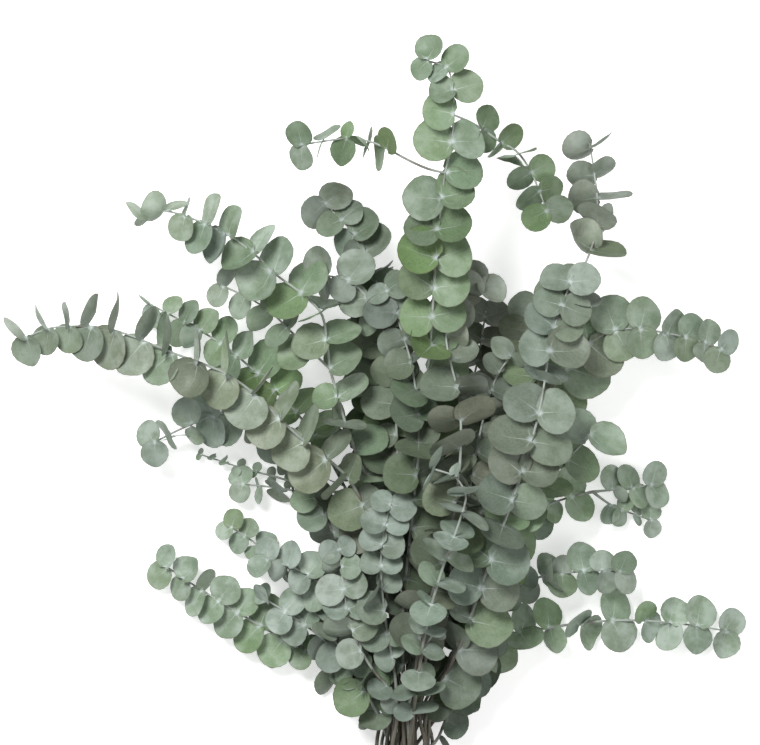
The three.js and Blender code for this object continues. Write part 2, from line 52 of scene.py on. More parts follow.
MIDDLE_SIDES = 8  # faces that meet in the raised middle of a leaf's solid
FOOT_SPAN, SIDE_SPAN, TIP_SPAN = 0.84, 0.33, 0.54  # between its rim's corners, in leaf widths
ODD_MOST = 0.08  # how far the spans of one leaf may be out, all together
RIM_START = 0.1  # height of the first two rim corners above the foot, in leaf widths
RING_CORNERS = 4  # of a stem's ring; a ring with leaves has twice as many
RING_GAP = 0.006  # corners of a stem that are nearer than this belong to one ring

# The leaf that is seen, in leaf widths
RIM_CORNERS = 18
MIDDLE = 0.33  # above the foot
HALF_LENGTH = 0.415
NOTCH = 0.07  # depth of the notch between the two lobes
INNER_RING = 0.58  # of the way from the middle to the rim
LEAF_THICKNESS = 0.0005  # in metres
UNDERSIDE_SHIFT = 2.0  # of the underside's place on the leaf map


def corners_round(vertex):
    """The corners round a vertex, in order."""
    after = {}
    for face in vertex.link_faces:
        loop = next(loop for loop in face.loops if loop.vert == vertex)
        after[loop.link_loop_next.vert] = loop.link_loop_prev.vert
    row = [next(iter(after))]
    while len(row) < len(after) and after.get(row[-1]) not in (None, row[0]):
        row.append(after[row[-1]])
    return row


def leaf_at(vertex):
    """The leaf whose raised middle this vertex is, with its corners, or None. A leaf's six rim corners
    always have the same spans between them, from its foot to its tip."""
    if len(vertex.link_faces) != MIDDLE_SIDES:
        return None
    row = corners_round(vertex)
    best = None
    for start in range(len(row)):
        rim = [row[(start + k) % len(row)] for k in range(6)]
        p = [corner.co for corner in rim]
        width = (p[1] - p[4]).length
        spans = ((0, 5, FOOT_SPAN), (2, 3, TIP_SPAN), (0, 1, SIDE_SPAN), (5, 4, SIDE_SPAN))
        odd = sum(abs((p[a] - p[b]).length - share * width) for a, b, share in spans) / width
        if best is None or odd < best[0]:
            best = (odd, rim, width)
    odd, rim, width = best
    if odd > ODD_MOST:
        return None
    p = [corner.co for corner in rim]
    start = (p[0] + p[5]) / 2
    axis = ((p[2] + p[3]) / 2 - start).normalized()
    normal = (p[1] - p[4]).cross(axis).normalized()
    normal = normal if normal.dot(vertex.co - start) > 0 else -normal
    foot = start - axis * width * RIM_START
    leaf = {"base": foot, "axis": axis, "normal": normal, "width": width}
    return leaf, [vertex, *rim]


def read_leaves(mesh):
    """The leaves of a branch's solid, and the vertices that belong to them."""
    found = [leaf_at(vertex) for vertex in mesh.verts]
    leaves = [leaf for leaf, corners in filter(None, found)]
    return leaves, {corner for leaf, corners in filter(None, found) for corner in corners}


def read_stem(mesh, used):
    """The rings of a branch's stem, as places and girths, and the pairs of rings that are neighbours.
    A girth is the radius of the stem there."""
    ring_of, rings = {}, []
    for vertex in mesh.verts:
        if vertex in used or vertex in ring_of:
            continue
        ring, queue = len(rings), [vertex]
        ring_of[vertex] = ring
        rings.append([])
        while queue:
            here = queue.pop()
            rings[ring].append(here.co)
            for edge in here.link_edges:
                other = edge.other_vert(here)
                if other not in used and other not in ring_of and edge.calc_length() < RING_GAP:
                    ring_of[other] = ring
                    queue.append(other)
    links = set()
    for edge in mesh.edges:
        a, b = (ring_of.get(vertex) for vertex in edge.verts)
        if a is None or b is None or a == b:
            continue
        if min(len(rings[a]), len(rings[b])) >= RING_CORNERS:
            links.add((min(a, b), max(a, b)))
    kept = sorted({ring for link in links for ring in link})
    places = [sum(rings[ring], Vector()) / len(rings[ring]) for ring in kept]
    girths = []
    for ring, place in zip(kept, places):
        spread = math.sqrt(sum((co - place).length_squared for co in rings[ring]) / len(rings[ring]))
        plain = {RING_CORNERS: spread, 2 * RING_CORNERS: spread / math.sqrt(2)}
        girths.append(plain.get(len(rings[ring]), girths[-1] if girths else spread))
    return places, girths, sorted((kept.index(a), kept.index(b)) for a, b in links)


def grown(node):
    """The leaves and the stem of one branch."""
    mesh = bmesh.new()
    mesh.from_mesh(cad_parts[node].data)
    bmesh.ops.remove_doubles(mesh, verts=mesh.verts, dist=SAME_PLACE)
    leaves, used = read_leaves(mesh)
    places, girths, links = read_stem(mesh, used)
    mesh.free()
    for leaf in leaves:
        away = [(place - leaf["base"]).length_squared for place in places]
        leaf["girth"] = girths[away.index(min(away))]
    return leaves, places, girths, links


class Wire:
    """One socket of a node tree. Sums on it add the nodes that do them."""

    def __init__(self, tree, socket):
        self.tree = tree
        self.socket = socket

    def out(self, number):
        """Another output of the same node."""
        return Wire(self.tree, self.socket.node.outputs[number])

    def math(self, operation, *others):
        return add_node(self.tree, "ShaderNodeMath", {"operation": operation}, [self, *others])

    def __add__(self, other):
        return self.math("ADD", other)

    def __sub__(self, other):
        return self.math("SUBTRACT", other)

    def __rsub__(self, other):
        return add_node(self.tree, "ShaderNodeMath", {"operation": "SUBTRACT"}, [other, self])

    def __mul__(self, other):
        return self.math("MULTIPLY", other)

    def __truediv__(self, other):
        return self.math("DIVIDE", other)

    def __pow__(self, other):
        return self.math("POWER", other)

    def __abs__(self):
        return self.math("ABSOLUTE")

    __radd__ = __add__
    __rmul__ = __mul__

    def ease(self, start, end, low=0.0, high=1.0):
        """Eases from low to high as the value goes from start to end."""
        values = {"Value": self, "From Min": start, "From Max": end, "To Min": low, "To Max": high}
        return add_node(self.tree, "ShaderNodeMapRange", {"interpolation_type": "SMOOTHSTEP"}, values)


def add_node(tree, kind, settings=None, sockets=()):
    """Adds a node: its settings first, then the values or links of its sockets, by name or in order."""
    node = tree.nodes.new(kind)
    for name, value in (settings or {}).items():
        setattr(node, name, value)
    pairs = sockets.items() if isinstance(sockets, dict) else enumerate(sockets)
    for name, value in pairs:
        if isinstance(value, Wire):
            tree.links.new(value.socket, node.inputs[name])
        elif value is not None:
            node.inputs[name].default_value = value
    return Wire(tree, node.outputs[0])


def scaled(tree, vector, size):
    return add_node(tree, "ShaderNodeVectorMath", {"operation": "SCALE"}, {0: vector, 3: size})


def mixed(tree, amount, one, two, blend="MIX"):
    """Colour one turning into colour two, or, with another blend, acted on by it."""
    sockets = {0: amount, 6: one, 7: two}
    return add_node(tree, "ShaderNodeMix", {"data_type": "RGBA", "blend_type": blend}, sockets).out(2)


def colour(red, green, blue):
    return (red, green, blue, 1.0)


def new_material(name):
    """An empty material, its tree and its main shader."""
    material = bpy.data.materials.new(name)
    material.use_nodes = True
    return material, material.node_tree, material.node_tree.nodes["Principled BSDF"]


def new_growth(name, inputs):
    """A Geometry Nodes tree with a geometry input and the named inputs, and its input node."""
    tree = bpy.data.node_groups.new(name, "GeometryNodeTree")
    tree.interface.new_socket("Geometry", in_out="INPUT", socket_type="NodeSocketGeometry")
    for label, (kind, value) in inputs.items():
        socket = tree.interface.new_socket(label, in_out="INPUT", socket_type=kind)
        if value is not None:
            socket.default_value = value
    tree.interface.new_socket("Geometry", in_out="OUTPUT", socket_type="NodeSocketGeometry")
    start = tree.nodes.new("NodeGroupInput")
    return tree, {socket.name: Wire(tree, socket) for socket in start.outputs if socket.name}


def close(tree, geometry):
    """Ends a Geometry Nodes tree with the geometry that it gives back."""
    end = tree.nodes.new("NodeGroupOutput")
    tree.links.new(geometry.socket, end.inputs[0])


def attribute(tree, name, kind="FLOAT"):
    return add_node(tree, "GeometryNodeInputNamedAttribute", {"data_type": kind}, {"Name": name})


def finished(name, mesh, tree, values):
    """The plain mesh that a tree makes from a mesh of points, as an object of its own."""
    holder = bpy.data.objects.new(name, mesh)
    bpy.context.scene.collection.objects.link(holder)
    modifier = holder.modifiers.new("growth", "NODES")
    modifier.node_group = tree
    for socket in tree.interface.items_tree:
        if socket.in_out == "INPUT" and socket.name in values:
            modifier[socket.identifier] = values[socket.name]
    seen = holder.evaluated_get(bpy.context.evaluated_depsgraph_get())
    result = bpy.data.meshes.new_from_object(seen)
    bpy.data.objects.remove(holder)
    result.name = name
    piece = bpy.data.objects.new(name, result)
    bpy.context.scene.collection.objects.link(piece)
    return piece


def noise(tree, place, size, detail=2.0, rough=0.5):
    """Cloudy noise between nought and one, with so many lumps to the metre."""
    sockets = {"Vector": place, "Scale": size, "Detail": detail, "Roughness": rough}
    return add_node(tree, "ShaderNodeTexNoise", {}, sockets)


def flat_leaf():
    """One flat leaf, one wide, with its foot at the origin and its tip along +Y. Its top and underside
    share the rim, and the attribute side tells them apart: 1 above, -1 below and 0 on the rim."""
    mesh = bmesh.new()
    side = mesh.verts.layers.float.new("side")
    spot = mesh.verts.layers.float_vector.new("spot")
    layer = mesh.loops.layers.uv.new("leaf")

    def corner(x, y, which):
        made = mesh.verts.new((x, y, 0))
        made[side] = which
        made[spot] = made.co
        return made

    def ring(count, reach, which):
        corners = []
        for k in range(count):
            turn = 2 * math.pi * k / count
            radius = 0.5 - (0.5 - HALF_LENGTH) * math.cos(turn) ** 2 - (NOTCH if k == 0 else 0)
            x, y = reach * radius * math.sin(turn), reach * radius * math.cos(turn)
            corners.append(corner(x, MIDDLE - y, which))
        return corners

    rim = ring(RIM_CORNERS, 1.0, 0.0)
    for which in (1.0, -1.0):
        inner = ring(RIM_CORNERS // 2, INNER_RING, which)
        middle = corner(0, MIDDLE, which)
        for k in range(len(inner)):
            here, after = inner[k], inner[(k + 1) % len(inner)]
            a, b, c = (rim[(2 * k + step) % RIM_CORNERS] for step in range(3))
            for face in ((a, b, here), (b, after, here), (b, c, after), (here, after, middle)):
                made = mesh.faces.new(face if which > 0 else face[::-1])
                made.smooth = True
                for loop in made.loops:
                    shift = 0.0 if which > 0 else UNDERSIDE_SHIFT
                    loop[layer].uv = (loop.vert.co.x + 0.5 + shift, loop.vert.co.y)
    for edge in mesh.edges:
        edge.smooth = any(end[side] != 0 for end in edge.verts)
    result = bpy.data.meshes.new("flat_leaf")
    mesh.to_mesh(result)
    mesh.free()
    return bpy.data.objects.new("flat_leaf", result)


def leaf_growth():
    """Puts a leaf on every point, then gives each its own dish, fold, arch and ripple."""
    tree, given = new_growth(
        "leaf_growth",
        {
            "Leaf": ("NodeSocketObject", None),
            "Thickness": ("NodeSocketFloat", LEAF_THICKNESS),
            "Material": ("NodeSocketMaterial", None),
        },
    )
    shape = {"Object": given["Leaf"], "As Instance": True}
    leaf = add_node(tree, "GeometryNodeObjectInfo", {}, shape).out(4)
    turned = add_node(
        tree,
        "FunctionNodeAxesToRotation",
        {"primary_axis": "Z", "secondary_axis": "Y"},
        [attribute(tree, "normal", "FLOAT_VECTOR"), attribute(tree, "axis", "FLOAT_VECTOR")],
    )
    width = attribute(tree, "width")
    placed = add_node(
        tree,
        "GeometryNodeInstanceOnPoints",
        {},
        {"Points": given["Geometry"], "Instance": leaf, "Rotation": turned, "Scale": width},
    )
    real = add_node(tree, "GeometryNodeRealizeInstances", {}, [placed])
    spot = add_node(tree, "ShaderNodeSeparateXYZ", {}, [attribute(tree, "spot", "FLOAT_VECTOR")])
    u, v = spot, spot.out(1)
    along = (v - MIDDLE) / HALF_LENGTH
    reach = u * u * 4.0 + along * along
    dish, fold, arch, curl = (attribute(tree, name) for name in ("dish", "fold", "arch", "curl"))
    ripple, phase, twist = (attribute(tree, name) for name in ("ripple", "phase", "twist"))
    waves = ((u.math("ARCTAN2", v - MIDDLE)) * 3.0 + phase).math("SINE")
    height = dish * reach + fold * abs(u) - arch * v * abs(v) + ripple * waves * reach * reach
    height = height + twist * u * v + curl * u * u * u
    skin = attribute(tree, "side") * given["Thickness"] * 0.5
    foot = (u * u + v * v).ease(0.0, 0.008, 0.5, 1.0)  # it dips to the stem that the lobes lap over
    rise = height * width + attribute(tree, "lap") * foot + skin
    growth = attribute(tree, "stretch") * v + attribute(tree, "point") * along.ease(0.9, 1.0)
    lift = scaled(tree, attribute(tree, "normal", "FLOAT_VECTOR"), rise)
    longer = scaled(tree, attribute(tree, "axis", "FLOAT_VECTOR"), growth * width)
    offset = add_node(tree, "ShaderNodeVectorMath", {"operation": "ADD"}, [lift, longer])
    bent = add_node(tree, "GeometryNodeSetPosition", {}, {"Geometry": real, "Offset": offset})

    # A leaf that would go under the surface lies flat on it instead.
    place = add_node(tree, "ShaderNodeSeparateXYZ", {}, [add_node(tree, "GeometryNodeInputPosition")])
    level = place.out(2).math("MAXIMUM", skin + given["Thickness"])
    rested = add_node(tree, "ShaderNodeCombineXYZ", {}, [place, place.out(1), level])
    laid = add_node(tree, "GeometryNodeSetPosition", {}, {"Geometry": bent, "Position": rested})
    look = {"Geometry": laid, "Material": given["Material"]}
    painted = add_node(tree, "GeometryNodeSetMaterial", {}, look)
    close(tree, painted)
    return tree


# Linear colours of a leaf: of a plain, a fresh green and a brown one, above and below, and of the
# blotches, the wax, the ribs and the rim that lie over them, and the grey that paints shade over all.
PLAIN_ABOVE, PLAIN_BELOW = colour(0.165, 0.225, 0.18), colour(0.3, 0.35, 0.295)
FRESH_ABOVE, FRESH_BELOW = colour(0.14, 0.255, 0.068), colour(0.23, 0.34, 0.185)
BROWN_ABOVE, BROWN_BELOW = colour(0.185, 0.175, 0.11), colour(0.28, 0.265, 0.21)
BLOTCH, MOTTLE = colour(0.55, 0.62, 0.5), colour(0.6, 0.66, 0.55)
PALE_WAX, WAX_AT_FOOT = colour(0.4, 0.47, 0.42), colour(0.58, 0.65, 0.64)
SIDE_RIB, MIDDLE_RIB = colour(0.36, 0.42, 0.34), colour(0.48, 0.54, 0.47)
PALE_GRAIN = colour(0.33, 0.39, 0.32)
DRY_RIM, DRY_SPECK = colour(0.12, 0.095, 0.07), colour(0.14, 0.1, 0.06)
PAINTED_SHADE_GREY = colour(0.36, 0.37, 0.36)
SIDE_RIBS = 10.0  # in each leaf width
RIB_SLANT = 0.7
FOOT_RAYS = 2.5  # half the rays of the star of ribs at the foot
# The looks of a leaf: the wax is partly painted light, and the last is painted shade.
LOOKS = ("fresh", "brown", "wax_and_light", "painted_shade")


def leaf_material():
    """Matt grey-green with a pale wax. Each leaf has its share of fresh green, brown, wax, partly painted
    light, and painted shade.
    """
    material, tree, shader = new_material("leaf")
    on_leaf = add_node(tree, "ShaderNodeUVMap", {"uv_map": "leaf"})
    raw = add_node(tree, "ShaderNodeSeparateXYZ", {}, [on_leaf])
    v = raw.out(1)
    under = raw.math("GREATER_THAN", UNDERSIDE_SHIFT - 0.5)
    u = raw - under * UNDERSIDE_SHIFT - 0.5
    leaf_map = add_node(tree, "ShaderNodeCombineXYZ", {}, [u, v, under])
    along = (v - MIDDLE) / HALF_LENGTH
    reach = (u * u * 4.0 + along * along) ** 0.5
    fresh, brown, wax_and_light, painted_shade = (
        add_node(tree, "ShaderNodeAttribute", {"attribute_name": name}).out(2)
        for name in LOOKS
    )
    here = add_node(tree, "ShaderNodeTexCoord").out(3)
    blotch = noise(tree, here, 60.0, 3.0, 0.6)
    mottle = noise(tree, here, 230.0, 3.0, 0.7)
    grain = noise(tree, here, 1100.0, 2.0)
    net = add_node(
        tree,
        "ShaderNodeTexVoronoi",
        {"feature": "DISTANCE_TO_EDGE"},
        {"Vector": leaf_map, "Scale": 14.0, "Randomness": 0.9},
    ).ease(0.0, 0.08, 1.0, 0.0)

    # Ribs: one up the middle, side ribs that leave it at a slant, and a star of them at the foot.
    middle_rib = abs(u).ease(0.0, 0.014, 1.0, 0.0) * v.ease(0.1, 0.6, 1.0, 0.12)
    slant = ((v - abs(u) * RIB_SLANT) * SIDE_RIBS).math("FRACT") - 0.5
    side_ribs = abs(slant).ease(0.0, 0.09, 1.0, 0.0) * reach.ease(0.5, 1.0, 1.0, 0.1)
    from_foot = (u * u + v * v) ** 0.5
    star = abs((u.math("ARCTAN2", v) * FOOT_RAYS).math("SINE"))
    rays = star.ease(0.0, 0.3, 1.0, 0.0) * from_foot.ease(0.05, 0.3, 1.0, 0.0)
    bloom = from_foot.ease(0.0, 0.11, 0.85, 0.0).math("MAXIMUM", rays * 0.5)

    # The colours, one over the other
    top = mixed(tree, fresh, PLAIN_ABOVE, FRESH_ABOVE)
    top = mixed(tree, brown, top, BROWN_ABOVE)
    below = mixed(tree, fresh, PLAIN_BELOW, FRESH_BELOW)
    below = mixed(tree, brown, below, BROWN_BELOW)
    base = mixed(tree, under, top, below)
    base = mixed(tree, blotch.ease(0.35, 0.7, 0.0, 0.55), base, BLOTCH, "MULTIPLY")
    base = mixed(tree, mottle.ease(0.4, 0.62, 0.0, 0.35), base, MOTTLE, "MULTIPLY")
    # The pale wax: the leaves' real bloom, raised on some branches as painted light.
    base = mixed(tree, wax_and_light * blotch.ease(0.3, 0.65, 1.0, 0.3), base, PALE_WAX)
    base = mixed(tree, grain.ease(0.35, 0.7, 0.0, 0.2), base, PALE_GRAIN)
    base = mixed(tree, side_ribs * 0.14 + net * 0.08, base, SIDE_RIB)
    base = mixed(tree, middle_rib * 0.55, base, MIDDLE_RIB)
    base = mixed(tree, bloom, base, WAX_AT_FOOT)
    base = mixed(tree, reach.ease(0.94, 0.99, 0.0, 0.4), base, DRY_RIM)
    base = mixed(tree, mottle.ease(0.66, 0.74, 0.0, 0.5), base, DRY_SPECK)
    # Painted shade: each leaf darkened towards grey by its share of shade.
    base = mixed(tree, painted_shade, base, PAINTED_SHADE_GREY, "MULTIPLY")
    tree.links.new(base.socket, shader.inputs["Base Color"])
    rough = blotch.ease(0.3, 0.7, 0.5, 0.66) + bloom * 0.15
    tree.links.new(rough.socket, shader.inputs["Roughness"])
    relief = middle_rib + side_ribs * 0.35 + net * 0.2 + grain * 0.12
    bump = add_node(tree, "ShaderNodeBump", {}, {"Strength": 0.35, "Distance": 0.0006, "Height": relief})
    tree.links.new(bump.socket, shader.inputs["Normal"])
    return material


# What the leaves of each branch are like: their share of each of the looks. The last share is painted shade;
# the wax share is the leaves' real bloom, raised on the low branches as painted light.
PLAIN = (0.3, 0.12, 0.3, 0.1)
CHARACTER = {
    "crown": (0.8, 0.05, 0.1, 0.32),
    "far_left": (0.35, 0.4, 0.25, 0.0),
    "right_front": (0.2, 0.2, 0.2, 0.3),
    "left_high": (0.55, 0.08, 0.3, 0.0),
    "far_right": (0.55, 0.2, 0.15, 0.1),
    "right_high": (0.35, 0.25, 0.2, 0.38),
    "brown_middle": (0.2, 0.5, 0.1, 0.35),
    "heart": (0.45, 0.15, 0.1, 0.45),
    "front_comb": (0.15, 0.1, 0.6, 0.0),
    "front_middle": (0.15, 0.05, 0.55, 0.0),
    "front_left": (0.25, 0.05, 0.5, 0.0),
    "front_low": (0.25, 0.05, 0.55, 0.0),
    "middle_left": (0.25, 0.25, 0.25, 0.2),
    "middle_left_high": (0.4, 0.15, 0.25, 0.12),
    "right_big": (0.85, 0.05, 0.1, 0.12),
    "right_middle": (0.25, 0.45, 0.15, 0.1),
    "right_low": (0.6, 0.08, 0.35, 0.0),
    "right_lower": (0.4, 0.1, 0.3, 0.0),
    "left_behind": (0.8, 0.05, 0.2, 0.0),
    "left_middle": (0.35, 0.1, 0.5, 0.0),
    "left_low": (0.5, 0.05, 0.3, 0.0),
    "left_inner": (0.3, 0.1, 0.25, 0.1),
    "left_fill": (0.35, 0.02, 0.6, 0.0),
    "left_spread": (0.4, 0.02, 0.55, 0.0),
    "left_sprig": (0.5, 0.02, 0.45, 0.0),
    "left_base": (0.5, 0.02, 0.6, 0.0),
    "base_big": (0.5, 0.05, 0.5, 0.0),
    "right_inner": (0.25, 0.05, 0.25, 0.15),
    "right_behind": (0.55, 0.35, 0.08, 0.15),
    "far_left_low": (0.8, 0.02, 0.5, 0.0),
    "far_right_low": (0.6, 0.05, 0.5, 0.0),
    "core_left": (1.0, 0.05, 0.0, 0.35),
    "core_right": (0.35, 0.5, 0.0, 0.35),
    "core_middle": (0.75, 0.2, 0.0, 0.5),
}
LOOK_SPREAD = (0.2, 0.16, 0.16, 0.14)  # of single leaves, to either side of their branch's shares
LOOK_MOST = (1.0, 1.0, 0.9, 1.0)
TIP_WAX = 0.25  # how much more wax the young leaves near a tip have, and how much less fresh green
YOUNG_GIRTH = 0.0012  # of the thickest stem that still counts as young
YOUNG_RISE = 3.0  # how fast a stem thinner than that gets its whole share of youth
TWINE_LOW, TWINE_HIGH = (Vector(corner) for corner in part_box("twine"))
NECK = (TWINE_LOW + TWINE_HIGH) / 2  # where the stems are held together
HEART_WIDTH, HEART_HEIGHT = 0.13, 0.12  # of the heart of the bunch, where the leaves get painted shade
HEART_PAINTED_SHADE, HEART_WAX_FOR_SHADE = 1.1, -0.4  # added in the middle of it to paint shade there: more shade grey and less wax
BROADER = (1.06, 1.2)  # than its solid
LAP = (0.0002, 0.0014)  # of the lobes above the bark
CUPPED = 0.15  # share of the leaves that are cupped
BENDS = {  # from least to most, of a plain leaf and then of a cupped one where it differs
    "dish": ((-0.02, 0.1), (0.14, 0.24)),
    "fold": ((-0.05, 0.12), (0.1, 0.3)),
    "arch": ((-0.05, 0.3),),
    "curl": ((-0.5, 0.5),),
    "ripple": ((0.0, 0.035),),
    "phase": ((0.0, 6.28),),
    "twist": ((-0.2, 0.2),),
    "stretch": ((-0.1, 0.1),),
    "point": ((-0.01, 0.05),),
}


def leaf_points(name, leaves, luck):
    """A mesh of points, one for each leaf, with all that shapes and colours it."""
    mesh = bpy.data.meshes.new(name)
    mesh.from_pydata([leaf["base"] for leaf in leaves], [], [])
    fresh, brown, wax_and_light, painted_shade = CHARACTER.get(name, PLAIN)
    rows = []
    for leaf in leaves:
        cupped = luck.random() < CUPPED
        young = TIP_WAX * max(0.0, min(1.0, YOUNG_RISE * (1 - leaf["girth"] / YOUNG_GIRTH)))
        inside = max(0.0, 1 - abs(leaf["base"].x - NECK.x) / HEART_WIDTH)
        inside *= max(0.0, 1 - leaf["base"].z / HEART_HEIGHT)
        row = {"width": leaf["width"] * luck.uniform(*BROADER), "lap": leaf["girth"] + luck.uniform(*LAP)}
        for bend, ranges in BENDS.items():
            row[bend] = luck.uniform(*ranges[-1 if cupped else 0])
        # Leaves in the heart of the bunch get painted shade: more of the shade grey and less wax.
        shares = (fresh - young, brown, wax_and_light + young + HEART_WAX_FOR_SHADE * inside, painted_shade + HEART_PAINTED_SHADE * inside)
        for look, share, spread, most in zip(LOOKS, shares, LOOK_SPREAD, LOOK_MOST):
            row[look] = min(most, max(0.0, luck.gauss(share, spread)))
        rows.append(row)
    for key in rows[0]:
        mesh.attributes.new(key, "FLOAT", "POINT").data.foreach_set("value", [row[key] for row in rows])
    for key in ("normal", "axis"):
        flat = [number for leaf in leaves for number in leaf[key]]
        mesh.attributes.new(key, "FLOAT_VECTOR", "POINT").data.foreach_set("vector", flat)
    return mesh


pattern = flat_leaf()
leaf_tree, leaf_look = leaf_growth(), leaf_material()
branches = {}
for node in sorted(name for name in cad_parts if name.endswith("_branch")):
    name = node.removesuffix("_branch")
    branches[name] = grown(node)
    points = leaf_points(name, branches[name][0], random.Random(name))
    foliage = finished(name + "_leaves", points, leaf_tree, {"Leaf": pattern, "Material": leaf_look})
    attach(foliage, "root")
bpy.data.objects.remove(pattern)


# ---------------------------------------------------------------- stems
# Slim woody stems with their side shoots, 4.6 mm thick at the cut end, where the bark is brown, and
# 1.6 mm at the tip, where it is pale and waxy. Each grows in one piece with the leaves that it bears.
STEM_SIDES = 8
STEM_STEP = 0.006  # between two rounds of corners
OLD_BARK = colour(0.045, 0.036, 0.026), colour(0.15, 0.14, 0.1)  # dark streaks, then pale ones
YOUNG_BARK = colour(0.1, 0.085, 0.07), colour(0.2, 0.19, 0.16)
WAXY_BARK = colour(0.24, 0.27, 0.23), colour(0.42, 0.46, 0.43)


def stem_growth():
    """Sweeps a round section along the smoothed line of a stem, as thick as the stem is there."""
    tree, given = new_growth(
        "stem_growth",
        {
            "Step": ("NodeSocketFloat", STEM_STEP),
            "Sides": ("NodeSocketInt", STEM_SIDES),
            "Material": ("NodeSocketMaterial", None),
        },
    )
    line = add_node(tree, "GeometryNodeMeshToCurve", {}, {"Mesh": given["Geometry"]})
    smooth = add_node(tree, "GeometryNodeCurveSplineType", {"spline_type": "CATMULL_ROM"}, [line])
    pace = {"Curve": smooth, "Length": given["Step"]}
    even = add_node(tree, "GeometryNodeResampleCurve", {"mode": "LENGTH"}, pace)
    size = {"Resolution": given["Sides"], "Radius": 1.0}
    section = add_node(tree, "GeometryNodeCurvePrimitiveCircle", {"mode": "RADIUS"}, size)
    girth = attribute(tree, "girth")
    sweep = {"Curve": even, "Profile Curve": section, "Scale": girth, "Fill Caps": True}
    swept = add_node(tree, "GeometryNodeCurveToMesh", {}, sweep)
    real = add_node(tree, "GeometryNodeRealizeInstances", {}, [swept])
    look = {"Geometry": real, "Material": given["Material"]}
    close(tree, add_node(tree, "GeometryNodeSetMaterial", {}, look))
    return tree


def stem_material():
    """Brown bark on the thick wood, pale waxy green-grey on the young wood."""
    material, tree, shader = new_material("stem")
    girth = add_node(tree, "ShaderNodeAttribute", {"attribute_name": "girth"}).out(2)
    here = add_node(tree, "ShaderNodeTexCoord").out(3)
    long_grain = add_node(tree, "ShaderNodeMapping", {}, {"Vector": here, "Scale": (1.0, 0.12, 1.0)})
    streaks = noise(tree, long_grain, 900.0, 4.0)
    patches = noise(tree, here, 45.0)
    old, young, waxy = (mixed(tree, streaks, *bark) for bark in (OLD_BARK, YOUNG_BARK, WAXY_BARK))
    young = mixed(tree, patches.ease(0.3, 0.5), young, waxy)
    bark = mixed(tree, girth.ease(0.0012, 0.0018), young, old)
    tree.links.new(bark.socket, shader.inputs["Base Color"])
    shader.inputs["Roughness"].default_value = 0.62
    bump = add_node(tree, "ShaderNodeBump", {}, {"Strength": 0.4, "Distance": 0.0003, "Height": streaks})
    tree.links.new(bump.socket, shader.inputs["Normal"])
    return material


def stem_line(name, places, girths, links):
    """The line of a stem and its shoots, with its girth at every point."""
    mesh = bpy.data.meshes.new(name)
    mesh.from_pydata(places, links, [])
    mesh.attributes.new("girth", "FLOAT", "POINT").data.foreach_set("value", girths)
    return mesh


stem_tree, stem_look = stem_growth(), stem_material()
for name, (leaves, places, girths, links) in branches.items():
    line = stem_line(name, places, girths, links)
    stem = finished(name + "_stem", line, stem_tree, {"Material": stem_look})
    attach(stem, "root")
    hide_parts(name + "_branch")


# ---------------------------------------------------------------- twine
# Plain three-ply twine, wound five times round the stems seven centimetres above their cut ends and
# pulled tight, so that it follows the outermost stems.
TURNS = 5
TWINE_THICKNESS = (TWINE_HIGH.y - TWINE_LOW.y) / TURNS
TWINE_STEPS = 80  # in each turn
TWIST = 900.0  # radians in each metre
PLY = 0.27  # radius of one of the three plies, and how far out it lies, in twine thicknesses
OFF_BARK = 0.45  # of the twine's middle from the bark, in twine thicknesses
BARK_CORNERS = 16  # of a stem, where the twine goes round it
FIBRE = colour(0.24, 0.15, 0.07), colour(0.58, 0.44, 0.26)  # dark fibres, then pale ones


def crossing(places, girths, links, y):
    """Where a stem crosses the plane at y, and its girth there."""
    for a, b in links:
        low, high = sorted((a, b), key=lambda k: places[k].y)
        if places[low].y <= y < places[high].y:
            share = (y - places[low].y) / (places[high].y - places[low].y)
            return places[low].lerp(places[high], share), girths[low]


def tight_loop(sections, gap):
    """The line of a cord pulled tight round the stems, at a distance from their bark."""
    dots = []
    for middle, girth in sections:
        for k in range(BARK_CORNERS):
            turn = math.tau * k / BARK_CORNERS
            reach = girth + gap
            dots.append((middle.x + reach * math.cos(turn), middle.z + reach * math.sin(turn)))
    hull = []
    for row in (sorted(dots), sorted(dots, reverse=True)):
        half = []
        for x, z in row:
            while len(half) > 1:
                (ax, az), (bx, bz) = half[-2:]
                if (bx - ax) * (z - az) - (bz - az) * (x - ax) > 0:
                    break
                half.pop()
            half.append((x, z))
        hull += half[:-1]
    return [Vector(dot) for dot in hull]


def wound(loop, turns, steps, pitch):
    """The points of a cord wound round and round a loop, moving along by the pitch in each turn."""
    sides = [(loop[k], loop[(k + 1) % len(loop)]) for k in range(len(loop))]
    length = sum((b - a).length for a, b in sides)
    points = []
    for step in range(turns * steps + 1):
        left = length * (step % steps) / steps
        for a, b in sides:
            if left <= (b - a).length:
                break
            left -= (b - a).length
        x, z = a.lerp(b, left / (b - a).length)
        points.append((x, NECK.y + pitch * (step / steps - turns / 2), z))
    return points


